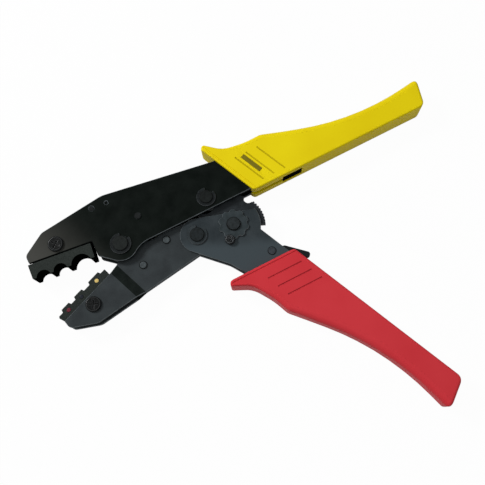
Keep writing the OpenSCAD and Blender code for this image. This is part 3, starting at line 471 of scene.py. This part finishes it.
# One cross-section: four rounded corners, with both flats let down where the fine line runs
def grip_ring(u, angle, edge, inset_in, inset_out, thin, groove, palm_r, inner_r):
    width = across(u, angle, edge)
    way = Vector((math.cos(angle), math.sin(angle)))
    low, high, s0, s1 = thin, GRIP_T - thin, inset_in, width - inset_out
    span = (s1 - s0) - palm_r - inner_r
    margin = min(CORNER_MARGIN, span / 4)
    ring = []
    corners = [(s1, high, 0, palm_r), (s0, high, 90, inner_r),
               (s0, low, 180, inner_r), (s1, low, 270, palm_r)]
    for s, z, turn, r in corners:
        cs = s - r if turn in (0, 270) else s + r
        cz = z - r if turn in (0, 90) else z + r
        for i in range(CORNER_STEPS + 1):
            a = math.radians(turn + 90 * i / CORNER_STEPS)
            ring.append([cs + r * math.cos(a), cz + r * math.sin(a)])
        last_s, last_z = ring[-1]
        if turn in (0, 180):
            away = -1 if turn == 0 else 1
            ring += [[last_s + away * margin, last_z], [last_s + away * (span - margin), last_z]]
        else:
            ring.append([last_s, GRIP_T / 2])
    for point in ring:
        if groove and (point[1] > high - LEVEL_GAP or point[1] < low + LEVEL_GAP):
            point[1] += -groove if point[1] > GRIP_T / 2 else groove
    return [(u + way.x * s, way.y * s, z) for s, z in ring]


INNER_R, LIP_R, PALM_R = 0.9, 1.6, 3.5
# The palm round grows from the lip's to its own between these two places.
PALM_GROWS_FROM, PALM_GROWS_OVER = 6, 24
MOUTH_INNER_R, MOUTH_PALM_R = 1.3, 0.6
MOUTH_LINE = 0.35
# Depth behind the mouth, how much thinner the lip is there, and how deep the fine line is cut
MOUTH_ROWS = ((0, 0.6, 0), (0.08, 0.4, 0), (0.25, 0.15, 0), (0.6, 0, 0), (1.25, 0, 0), (1.4, 0, MOUTH_LINE),
              (1.9, 0, MOUTH_LINE), (2.05, 0, 0), (2.3, 0, 0), (2.5, 0, 0), (2.7, 0, 0), (3.0, 0, 0),
              (3.4, 0, 0), (4.0, 0, 0), (4.9, 0, 0))
BODY_FROM, BODY_TO = 6.2, 97.9
# The sections turn from the mouth's angle to nearly square, and then on to the end's.
TURN_FROM, SQUARE_AT, SQUARE_ANGLE = 5.35, 21, math.radians(98)
CLOSE_STEP, WIDE_STEP, CLOSE_UNTIL = 0.8, 2.2, 32
END_INNER_R, END_PALM_R, END_FACE_R = 3, 3.4, 1.6
END_TIGHTENING = 0.6
END_DEPTHS = (3.4, 2.6, 2.0, 1.5, 1.05, 0.7, 0.4, 0.18, 0.05, 0)


def grip_rings():
    edge = palm_edge()
    rings = []
    for depth, thin, groove in MOUTH_ROWS:
        inset_in, inset_out = round_in(depth, MOUTH_INNER_R), round_in(depth, MOUTH_PALM_R)
        rings.append(grip_ring(depth / math.sin(MOUTH_ANGLE), MOUTH_ANGLE, edge, inset_in, inset_out,
                               thin, groove, LIP_R, INNER_R))
    u = BODY_FROM
    while u < BODY_TO:
        if u < SQUARE_AT:
            angle = MOUTH_ANGLE + (SQUARE_ANGLE - MOUTH_ANGLE) * (u - TURN_FROM) / (SQUARE_AT - TURN_FROM)
        else:
            angle = SQUARE_ANGLE + (END_ANGLE - SQUARE_ANGLE) * (u - SQUARE_AT) / (BODY_TO - SQUARE_AT)
        palm_r = LIP_R + (PALM_R - LIP_R) * min(1, max(0, (u - PALM_GROWS_FROM) / PALM_GROWS_OVER))
        rings.append(grip_ring(u, angle, edge, 0, 0, 0, 0, palm_r, INNER_R))
        u += CLOSE_STEP if u < CLOSE_UNTIL else WIDE_STEP
    for depth in END_DEPTHS:
        thin = round_in(depth, END_FACE_R)
        palm_r = PALM_R - END_TIGHTENING * max(0, END_INNER_R - depth)
        inset_in, inset_out = round_in(depth, END_INNER_R), round_in(depth, END_PALM_R)
        rings.append(grip_ring(END_IN[0] - depth / math.sin(END_ANGLE), END_ANGLE, edge, inset_in, inset_out,
                               thin, 0, palm_r, INNER_R))
    return rings


def box_cutter(low, high, place=Matrix.Identity(4)):
    bpy.ops.mesh.primitive_cube_add(size=1)
    cutter = bpy.context.object
    size, middle = Vector(high) - Vector(low), (Vector(high) + Vector(low)) / 2
    cutter.data.transform(place @ Matrix.Translation(middle) @ Matrix.Diagonal(size.to_4d()))
    return cutter


def carve(piece, cutter):
    cutting = piece.modifiers.new("cutting", "BOOLEAN")
    cutting.operation = "DIFFERENCE"
    cutting.solver = "EXACT"
    cutting.object = cutter
    bpy.ops.object.select_all(action="DESELECT")
    bpy.context.view_layer.objects.active = piece
    piece.select_set(True)
    bpy.ops.object.modifier_apply(modifier=cutting.name)
    bpy.data.objects.remove(cutter)


# The socket for the tang tapers to its end, and its cutter starts well outside the mouth.
OUTSIDE = -30
SOCKET_CLEAR = 0.1
SOCKET_LOW, SOCKET_HIGH = 1.9, 27.9
SOCKET_END, SOCKET_END_HIGH = 92.1, 7.1
# The slit and the window cut the inner wall from below it to inside the socket.
WALL_BELOW, WALL_ABOVE = -1, 3
SLIT_END, SLIT_HALF = 17, 1.7
WINDOW_END, WINDOW_HALF = 28.5, 4
LINE_COUNT, LINE_FIRST, LINE_STEP, LINE_TOP = 3, -0.6, 6.4, 20.5
LINE_LENGTH, LINE_HALF, LINE_FLATTEN = 19, 0.3, 0.9
GRIP_SMOOTH_DEG = 32
# Material slot of the cut lines, after the plastic itself, which paints shade in them
GROOVE_SHADED = 1


# The sleeve is drawn out ring by ring from its mouth, and then cut
def grip_sleeve(name, plate, place, plastic, groove_shade):
    rings = grip_rings()
    bpy.ops.object.select_all(action="DESELECT")
    bpy.ops.mesh.primitive_circle_add(vertices=len(rings[0]), fill_type="NGON")
    grip = bpy.context.object
    grip.name = name
    bpy.ops.object.mode_set(mode="EDIT")
    bpy.ops.mesh.select_mode(type="FACE")
    bpy.ops.mesh.select_all(action="SELECT")
    shape = bmesh.from_edit_mesh(grip.data)
    shape.verts.ensure_lookup_table()
    order = list(range(len(rings[0])))
    for index, spot in zip(order, rings[0]):
        shape.verts[index].co = spot
    for ring in rings[1:]:
        bpy.ops.mesh.extrude_region_move()
        shape = bmesh.from_edit_mesh(grip.data)
        shape.verts.index_update()
        shape.verts.ensure_lookup_table()
        order = [next(e.other_vert(shape.verts[i]).index for e in shape.verts[i].link_edges
                      if e.other_vert(shape.verts[i]).select) for i in order]
        for index, spot in zip(order, ring):
            shape.verts[index].co = spot
        bmesh.update_edit_mesh(grip.data)
    bpy.ops.mesh.select_all(action="SELECT")
    bpy.ops.mesh.normals_make_consistent(inside=False)
    bpy.ops.object.mode_set(mode="OBJECT")
    grip.data.materials.append(plastic)
    grip.data.materials.append(groove_shade)
    mid = GRIP_T / 2
    half_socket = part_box(plate)[1].z / MM - mid + SOCKET_CLEAR
    socket = box_cutter((OUTSIDE, SOCKET_LOW, mid - half_socket),
                        (SOCKET_END, SOCKET_HIGH, mid + half_socket))
    for corner in socket.data.vertices:
        if corner.co.x > 0 and corner.co.y > SOCKET_END_HIGH:
            corner.co.y = SOCKET_END_HIGH
    carve(grip, socket)
    for start, end, half in ((OUTSIDE, SLIT_END, SLIT_HALF), (SLIT_END, WINDOW_END, WINDOW_HALF)):
        carve(grip, box_cutter((start, WALL_BELOW, mid - half), (end, WALL_ABOVE, mid + half)))
    for k in range(LINE_COUNT):
        for face in (0, GRIP_T):
            line = Matrix.Translation((LINE_FIRST + LINE_STEP * k, LINE_TOP, face)) @ MOUTH_TURN
            edge_down = Matrix.Diagonal((1, 1, LINE_FLATTEN, 1)) @ Matrix.Rotation(math.pi / 4, 4, "X")
            cutter = box_cutter((0, -LINE_HALF, -LINE_HALF), (LINE_LENGTH, LINE_HALF, LINE_HALF),
                                line @ edge_down)
            for side in cutter.data.polygons:
                side.material_index = GROOVE_SHADED
            carve(grip, cutter)
    grip.data.transform(place @ Matrix.Scale(MM, 4))
    bpy.ops.object.mode_set(mode="EDIT")
    bpy.ops.mesh.select_all(action="SELECT")
    bpy.ops.mesh.remove_doubles(threshold=TURNED_MERGE_MM * MM)
    bpy.ops.mesh.normals_make_consistent(inside=False)
    bpy.ops.object.mode_set(mode="OBJECT")
    settle(grip, GRIP_SMOOTH_DEG)
    return grip


# The inner end of the mouth from the main pin, and the lean of the inner edge
FIXED_AT, FIXED_LEAN_DEG = Vector((73.75, 2.5, 0)) * MM, 7
fixed_place = Matrix.Translation(PIVOT + FIXED_AT) @ Matrix.Rotation(math.radians(FIXED_LEAN_DEG), 4, "Z")
yellow_plastic = grip_plastic("moulded_yellow_polypropylene", "d9c60e", "d2bc0a")
# The cut lines are painted a shade darker, as painted shade in the grooves.
yellow_groove_shade = grip_plastic("yellow_polypropylene_groove_shade", "bba90d", "b09e0b")
fixed_grip = grip_sleeve("fixed_grip_sleeve", "frame_plate_front", fixed_place, yellow_plastic, yellow_groove_shade)
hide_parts("fixed_grip")
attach(fixed_grip, "frame")

# Blank inlay on the fixed grip's face: a thin bar of dark vinyl, let in between two finger lines.
# It is die-cut with rounded corners and pressed into a shallow pocket, just under the face.
INLAY_L, INLAY_W, INLAY_CORNER = 12.4, 2.4, 0.4
INLAY_T, INLAY_CROWN, INLAY_BORDER = 0.16, 0.05, 0.12
POCKET_ROOM, POCKET_DEPTH, INLAY_SINK = 0.2, 0.25, 0.24
INLAY_AT = (5.7, 13.8, GRIP_T)
ABOVE_FACE = 1
# Vinyl: a dull olive brown without a sheen
inlay_vinyl = oxide_steel("matt_dark_vinyl", "645a12", "746a17",
                          cloud_mm=3, grain_mm=0.4, matt=0.6, gloss=0.08)
inlay_place = fixed_place @ Matrix.Scale(MM, 4) @ Matrix.Translation(INLAY_AT) @ MOUTH_TURN
half_l, half_w = INLAY_L / 2 + POCKET_ROOM, INLAY_W / 2 + POCKET_ROOM
carve(fixed_grip, box_cutter((-half_l, -half_w, -POCKET_DEPTH), (half_l, half_w, ABOVE_FACE), inlay_place))
settle(fixed_grip, GRIP_SMOOTH_DEG)
bpy.ops.object.select_all(action="DESELECT")
bpy.ops.mesh.primitive_plane_add(size=1)
inlay = bpy.context.object
inlay.name = "grip_inlay"
inlay.data.transform(Matrix.Diagonal((INLAY_L, INLAY_W, 1, 1)))
bpy.ops.object.mode_set(mode="EDIT")
bpy.ops.mesh.select_all(action="SELECT")
bpy.ops.mesh.bevel(offset=INLAY_CORNER, segments=4, affect="VERTICES")
bpy.ops.mesh.select_all(action="SELECT")
bpy.ops.mesh.extrude_region_move(TRANSFORM_OT_translate={"value": (0, 0, INLAY_T)})
bpy.ops.mesh.inset(thickness=INLAY_BORDER)
bpy.ops.transform.translate(value=(0, 0, INLAY_CROWN))
bpy.ops.mesh.select_all(action="SELECT")
bpy.ops.mesh.normals_make_consistent(inside=False)
bpy.ops.object.mode_set(mode="OBJECT")
inlay.data.transform(inlay_place @ Matrix.Translation((0, 0, -INLAY_SINK)))
inlay.data.materials.append(inlay_vinyl)
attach(inlay, "frame")

# Moving jaw: two plates, joggled apart at the front to take the lower die, with a thin plate between.
# The same sheet and oxide as the frame, but bead-blasted, so it looks greyer and a little bluer.
# Two rivets hold the plates together, with ends that are rubbed grey.
JOGGLE_LEAN = 0.95
JOGGLE_SHADED = 3
jaw_oxide = oxide_steel("blasted_black_oxide_jaw", "25292b", "303537",
                        cloud_mm=8, grain_mm=0.6, matt=0.42, gloss=0.05)
# The joggle's slope is painted darker than the blasted faces, as painted shade.
joggle_shade_oxide = oxide_steel("black_oxide_joggle_painted_shade", "101413", "1a1f1d",
                            cloud_mm=4, grain_mm=0.6, matt=0.46, gloss=0.03)
for node in ("jaw_plate_front", "jaw_plate_back"):
    plate = blanked(node, "jaw", jaw_oxide, rubbed_oxide, wall_shade_oxide, edge_mm=0.28)
    plate.data.materials.append(joggle_shade_oxide)
    for face in plate.data.polygons:
        if FLAT_LEAN < abs(face.normal.z) < JOGGLE_LEAN:
            face.material_index = JOGGLE_SHADED
blanked("jaw_spacer", "jaw", jaw_oxide, jaw_oxide, wall_shade_oxide, edge_mm=0.1)
# Rubbed rivet ends: a grey spot inside a black rim, the rim a painted shade
jaw_rivet_steel = oxide_steel("rubbed_rivet_steel", "32383a", "444a4c",
                              cloud_mm=1.5, grain_mm=0.4, matt=0.4, gloss=0.06)
turned("jaw_rivets", "jaw", jaw_rivet_steel, screw_black_and_shade, edge_mm=0.4)

# Lower die: the same tool steel, with three flat anvils that press into the nests.
# Each nest has a dot of enamel in a shallow dimple, in the colour code of its terminal.
JAW_OPEN_DEG = 28
# The dots in mm from the main pin, on the shut jaw, at the stations of the nests
DOT_ACROSS, DOT_FLOOR = -3.5, 9.76
DOT_R, DOT_RIM, DOT_SHOULDER = 1.06, 0.3, 0.4
DOT_T, DOT_DOME, DOT_CROWN = 0.2, 0.06, 0.02
DOT_SMOOTH_DEG = 40
# Its walls take the same painted shade as the upper die's.
darken_walls(turned("lower_die", "jaw", die_black, nest_shade_black, edge_mm=0.15))
for node in ("lower_die_screw", "lower_die_nut"):
    turned(node, "jaw", screw_black_and_shade, screw_rim, SCREW_EDGE_MM)
on_shut_jaw = (Matrix.Translation(PIVOT) @ Matrix.Rotation(math.radians(JAW_OPEN_DEG), 4, "Z")
               @ Matrix.Scale(MM, 4))
for name, along, colour in (("red", -42, "5c1c29"), ("blue", -33, "11151e"), ("yellow", -22, "bfa765")):
    # Enamel: an even, deep colour with a weak gloss
    enamel = bpy.data.materials.new("dot_enamel_" + name)
    enamel.use_nodes = True
    enamel_sockets = enamel.node_tree.nodes["Principled BSDF"].inputs
    enamel_sockets["Base Color"].default_value = linear(colour)
    enamel_sockets["Roughness"].default_value = 0.35
    enamel_sockets["Specular IOR Level"].default_value = 0.1
    bpy.ops.object.select_all(action="DESELECT")
    bpy.ops.mesh.primitive_circle_add(vertices=32, radius=DOT_R, fill_type="NGON")
    dot = bpy.context.object
    dot.name = "die_dot_" + name
    bpy.ops.object.mode_set(mode="EDIT")
    bpy.ops.mesh.select_all(action="SELECT")
    bpy.ops.mesh.extrude_region_move(TRANSFORM_OT_translate={"value": (0, 0, DOT_T)})
    bpy.ops.mesh.inset(thickness=DOT_RIM)
    bpy.ops.transform.translate(value=(0, 0, DOT_DOME))
    bpy.ops.mesh.inset(thickness=DOT_SHOULDER)
    bpy.ops.transform.translate(value=(0, 0, DOT_CROWN))
    bpy.ops.mesh.select_all(action="SELECT")
    bpy.ops.mesh.normals_make_consistent(inside=False)
    bpy.ops.object.mode_set(mode="OBJECT")
    dot.data.transform(on_shut_jaw @ Matrix.Translation((along, DOT_ACROSS, DOT_FLOOR)))
    bpy.ops.object.shade_smooth_by_angle(angle=math.radians(DOT_SMOOTH_DEG))
    dot.data.materials.append(enamel)
    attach(dot, "jaw")

# Knee pin: turned from the same bar as the main pin, through the jaw and the handle.
# A sprung clip at each end lies outside the handle plates, bead-blasted as they are.
knee_pin_steel = turned_steel("turned_oiled_knee_pin_steel", "knee_pin", "121617", "1d2224")
# Its rounded ends take the screws' black as a painted shade ring.
turned("knee_pin", "jaw", knee_pin_steel, screw_black_and_shade, PIN_EDGE_MM)
# Blasted clips: greyer than the oiled ones of the frame
knee_clip_steel = oxide_steel("blasted_spring_steel_clip", "23292b", "2f3538",
                              cloud_mm=2, grain_mm=0.5, matt=0.4, gloss=0.06)
# The clips' walls take the screws' black as painted shade.
blanked("knee_clips", "jaw", knee_clip_steel, clip_edge, screw_black_and_shade, CLIP_EDGE_MM)

# Handle plates: two thinner plates of the same blasted and oxidised sheet as the jaw.
# A spacer lies between their tangs, and rivets hold the three together inside the grip.
# Satin blue-grey, painted a little paler towards the grip
handle_oxide = oxide_steel("blasted_black_oxide_handle", "242a2d", "31373a",
                           cloud_mm=8, grain_mm=0.6, matt=0.42, gloss=0.04)
paled_along(handle_oxide, (-0.3, -1, 0), paling_from_mm=-30, paling_to_mm=-22, pale="384044")
for node in ("handle_plate_front", "handle_plate_back"):
    blanked(node, "handle", handle_oxide, rubbed_oxide, wall_shade_oxide, edge_mm=0.24)
blanked("handle_spacer", "handle", tang_black, tang_black, tang_black, edge_mm=0.15)
turned("handle_rivets", "handle", rivet_steel, rivet_steel, edge_mm=0.2)

# Handle grip: the same plastic sleeve in red, moulded as the mirror image of the fixed one.
# It is pushed over the handle's tang, with its slit and window towards the other grip.
HANDLE_AT, HANDLE_LEAN_DEG = Vector((82, -33.75, 0)) * MM, -59.25
handle_place = (Matrix.Translation(PIVOT + HANDLE_AT) @ Matrix.Rotation(math.radians(HANDLE_LEAN_DEG), 4, "Z")
                @ Matrix.Scale(-1, 4, (0, 1, 0)))
red_plastic = grip_plastic("moulded_red_polypropylene", "c0343b", "b92d34")
# Its cut lines are painted darker too, as shade in the grooves.
red_groove_shade = grip_plastic("red_polypropylene_groove_shade", "ae2e35", "a52a31")
handle_grip = grip_sleeve("handle_grip_sleeve", "handle_plate_front", handle_place, red_plastic, red_groove_shade)
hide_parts("handle_grip")
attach(handle_grip, "handle")

# Adjuster: a turned pin through the handle plates, with a notched wheel blanked from sheet on its front end.
# A small screw in one notch locks the wheel, and a clip holds the pin at the back.
adjuster_pin_steel = turned_steel("turned_oiled_adjuster_pin_steel", "adjuster_pin", "1a1e1f", "272c2e")
# Its rounded ends take the screws' black as a painted shade ring.
turned("adjuster_pin", "handle", adjuster_pin_steel, screw_black_and_shade, PIN_EDGE_MM)
# Wheel: as grey as the plate behind it, so that its rubbed edge draws its notches
wheel_oxide = oxide_steel("blasted_black_oxide_wheel", "232a2c", "30373a",
                          cloud_mm=3, grain_mm=0.5, matt=0.4, gloss=0.06)
# The wheel's walls take the screws' black, as painted shade in its notches.
blanked("adjuster_wheel", "handle", wheel_oxide, rubbed_oxide, screw_black_and_shade, edge_mm=0.22)
# The clip's walls take the screws' black as painted shade.
blanked("adjuster_clip", "handle", clip_steel, clip_steel, screw_black_and_shade, edge_mm=0.15)
# Lock screw: black and oily, with a rubbed rim
lock_steel = oxide_steel("oiled_black_lock_screw_steel", "050606", "0d0f10",
                         cloud_mm=1.2, grain_mm=0.4, matt=0.3, gloss=0.05)
turned("lock_screw", "handle", lock_steel, clip_edge, edge_mm=0.14)

# Pawl pin, washers, spring and spring post: small turned pieces and a wound wire inside the handle.
# The spring reaches from its post on the handle to the pawl's tail.
pawl_pin_steel = turned_steel("turned_oiled_pawl_pin_steel", "pawl_pin", "2a2f33", "383d42")
# Its rounded end takes the screws' black as a painted shade ring.
turned("pawl_pin", "handle", pawl_pin_steel, screw_black_and_shade, edge_mm=0.3)
turned("pawl_washers", "handle", spacer_steel, spacer_steel, edge_mm=0.1)
turned("pawl_spring_post", "handle", rivet_steel, rivet_steel, edge_mm=0.15)
wound_wire("pawl_spring")

# Toggle link with its ratchet sector, and the pawl with its release lever.
# Both are blanked from hardened steel, with the teeth shaved, and left black from the quench oil.
QUENCHED_EDGE_MM = 0.1
link_black = oxide_steel("oil_quenched_link_steel", "181c1e", "25292c",
                         cloud_mm=4, grain_mm=0.5, matt=0.42, gloss=0.05)
pawl_black = oxide_steel("oil_quenched_pawl_steel", "0e1112", "181b1d",
                         cloud_mm=4, grain_mm=0.5, matt=0.42, gloss=0.05)
blanked("toggle_link", "link", link_black, clip_edge, wall_shade_oxide, QUENCHED_EDGE_MM)
blanked("ratchet_pawl", "pawl", pawl_black, clip_edge, wall_shade_oxide, QUENCHED_EDGE_MM)

# Floor: a wide sheet of matt white paper under the plier, lit from above.
# The eye and the polished faces see it white, and it keeps a faint shadow.
FLOOR_SIZE_M = 6
FLOOR_DROP = 0.05 * MM
# The rest of the paper's look is its own shading, which holds the shadow.
GLOW_SHARE = 0.97


def seen_as_background(tree):
    ray = put(tree, "LightPath", {})
    straight = put(tree, "Math", {0: ray.outputs["Is Camera Ray"], 1: ray.outputs["Is Glossy Ray"]},
                   operation="MAXIMUM")
    return put(tree, "Math", {0: straight.outputs["Value"], 1: ray.outputs["Is Transmission Ray"]},
               operation="MAXIMUM").outputs["Value"]


bpy.ops.object.select_all(action="DESELECT")
bpy.ops.mesh.primitive_plane_add(size=FLOOR_SIZE_M)
floor = bpy.context.object
floor.name = "paper_floor"
floor.data.transform(Matrix.Translation((0, 0, -FLOOR_DROP)))
paper = bpy.data.materials.new("white_paper")
paper.use_nodes = True
paper_tree = paper.node_tree
paper_shader = paper_tree.nodes["Principled BSDF"]
paper_shader.inputs["Base Color"].default_value = (0.6, 0.6, 0.6, 1)
paper_shader.inputs["Roughness"].default_value = 0.9
paper_share = put(paper_tree, "Math", {0: seen_as_background(paper_tree), 1: GLOW_SHARE},
                  operation="MULTIPLY")
paper_glow = put(paper_tree, "Emission", {"Color": (1, 1, 1, 1), "Strength": 1.0})
paper_mix = put(paper_tree, "MixShader", {0: paper_share.outputs["Value"], 1: paper_shader.outputs["BSDF"],
                                          2: paper_glow.outputs["Emission"]})
paper_tree.links.new(paper_mix.outputs["Shader"], paper_tree.nodes["Material Output"].inputs["Surface"])
floor.data.materials.append(paper)

# Studio light: a dim even surround, a broad soft box straight above the plier, and a smaller one
# behind it on the left, which leaves the near sides of the pieces in the shade.
SURROUND, SEEN_WHITE = 0.3, 1.0
studio = bpy.data.worlds.new("white_studio")
studio.use_nodes = True
studio_tree = studio.node_tree
studio_tree.nodes["Background"].inputs["Color"].default_value = (1, 1, 1, 1)
studio_level = put(studio_tree, "MapRange", {"Value": seen_as_background(studio_tree), "To Min": SURROUND,
                                             "To Max": SEEN_WHITE})
studio_tree.links.new(studio_level.outputs["Result"], studio_tree.nodes["Background"].inputs["Strength"])
bpy.context.scene.world = studio
# Each box has its place in metres, its watts and its width in metres.
for name, spot, power, width in (("soft_box", (-0.05, -0.05, 0.7), 1.4, 0.5),
                                 ("key_box", (-0.45, 0.5, 0.55), 6.3, 0.2)):
    lamp = bpy.data.objects.new(name, bpy.data.lights.new(name, "AREA"))
    lamp.data.energy = power
    lamp.data.size = width
    lamp.location = spot
    lamp.rotation_euler = (-lamp.location).to_track_quat("-Z", "Y").to_euler()
    bpy.context.scene.collection.objects.link(lamp)

# Camera: a normal lens above the near side of the plier, tilted a little, as the photograph was taken.
# Its axes and its stand fit the outline of the tool there.
RIGHT = Vector((0.9383975, -0.34379087, -0.0348995))
UP = Vector((0.34124804, 0.90605518, 0.25022748))
STAND = PIVOT + Vector((39.926, -106.001, 344)) * MM
camera = bpy.data.objects.new("camera", bpy.data.cameras.new("camera"))
camera.data.sensor_width = 36
camera.data.lens = 50
camera.data.clip_start = 0.01
columns = zip(RIGHT, UP, RIGHT.cross(UP), STAND)
camera.matrix_world = Matrix([*columns, (0, 0, 0, 1)])
bpy.context.scene.collection.objects.link(camera)
bpy.context.scene.camera = camera
bpy.context.scene.view_settings.view_transform = "Standard"
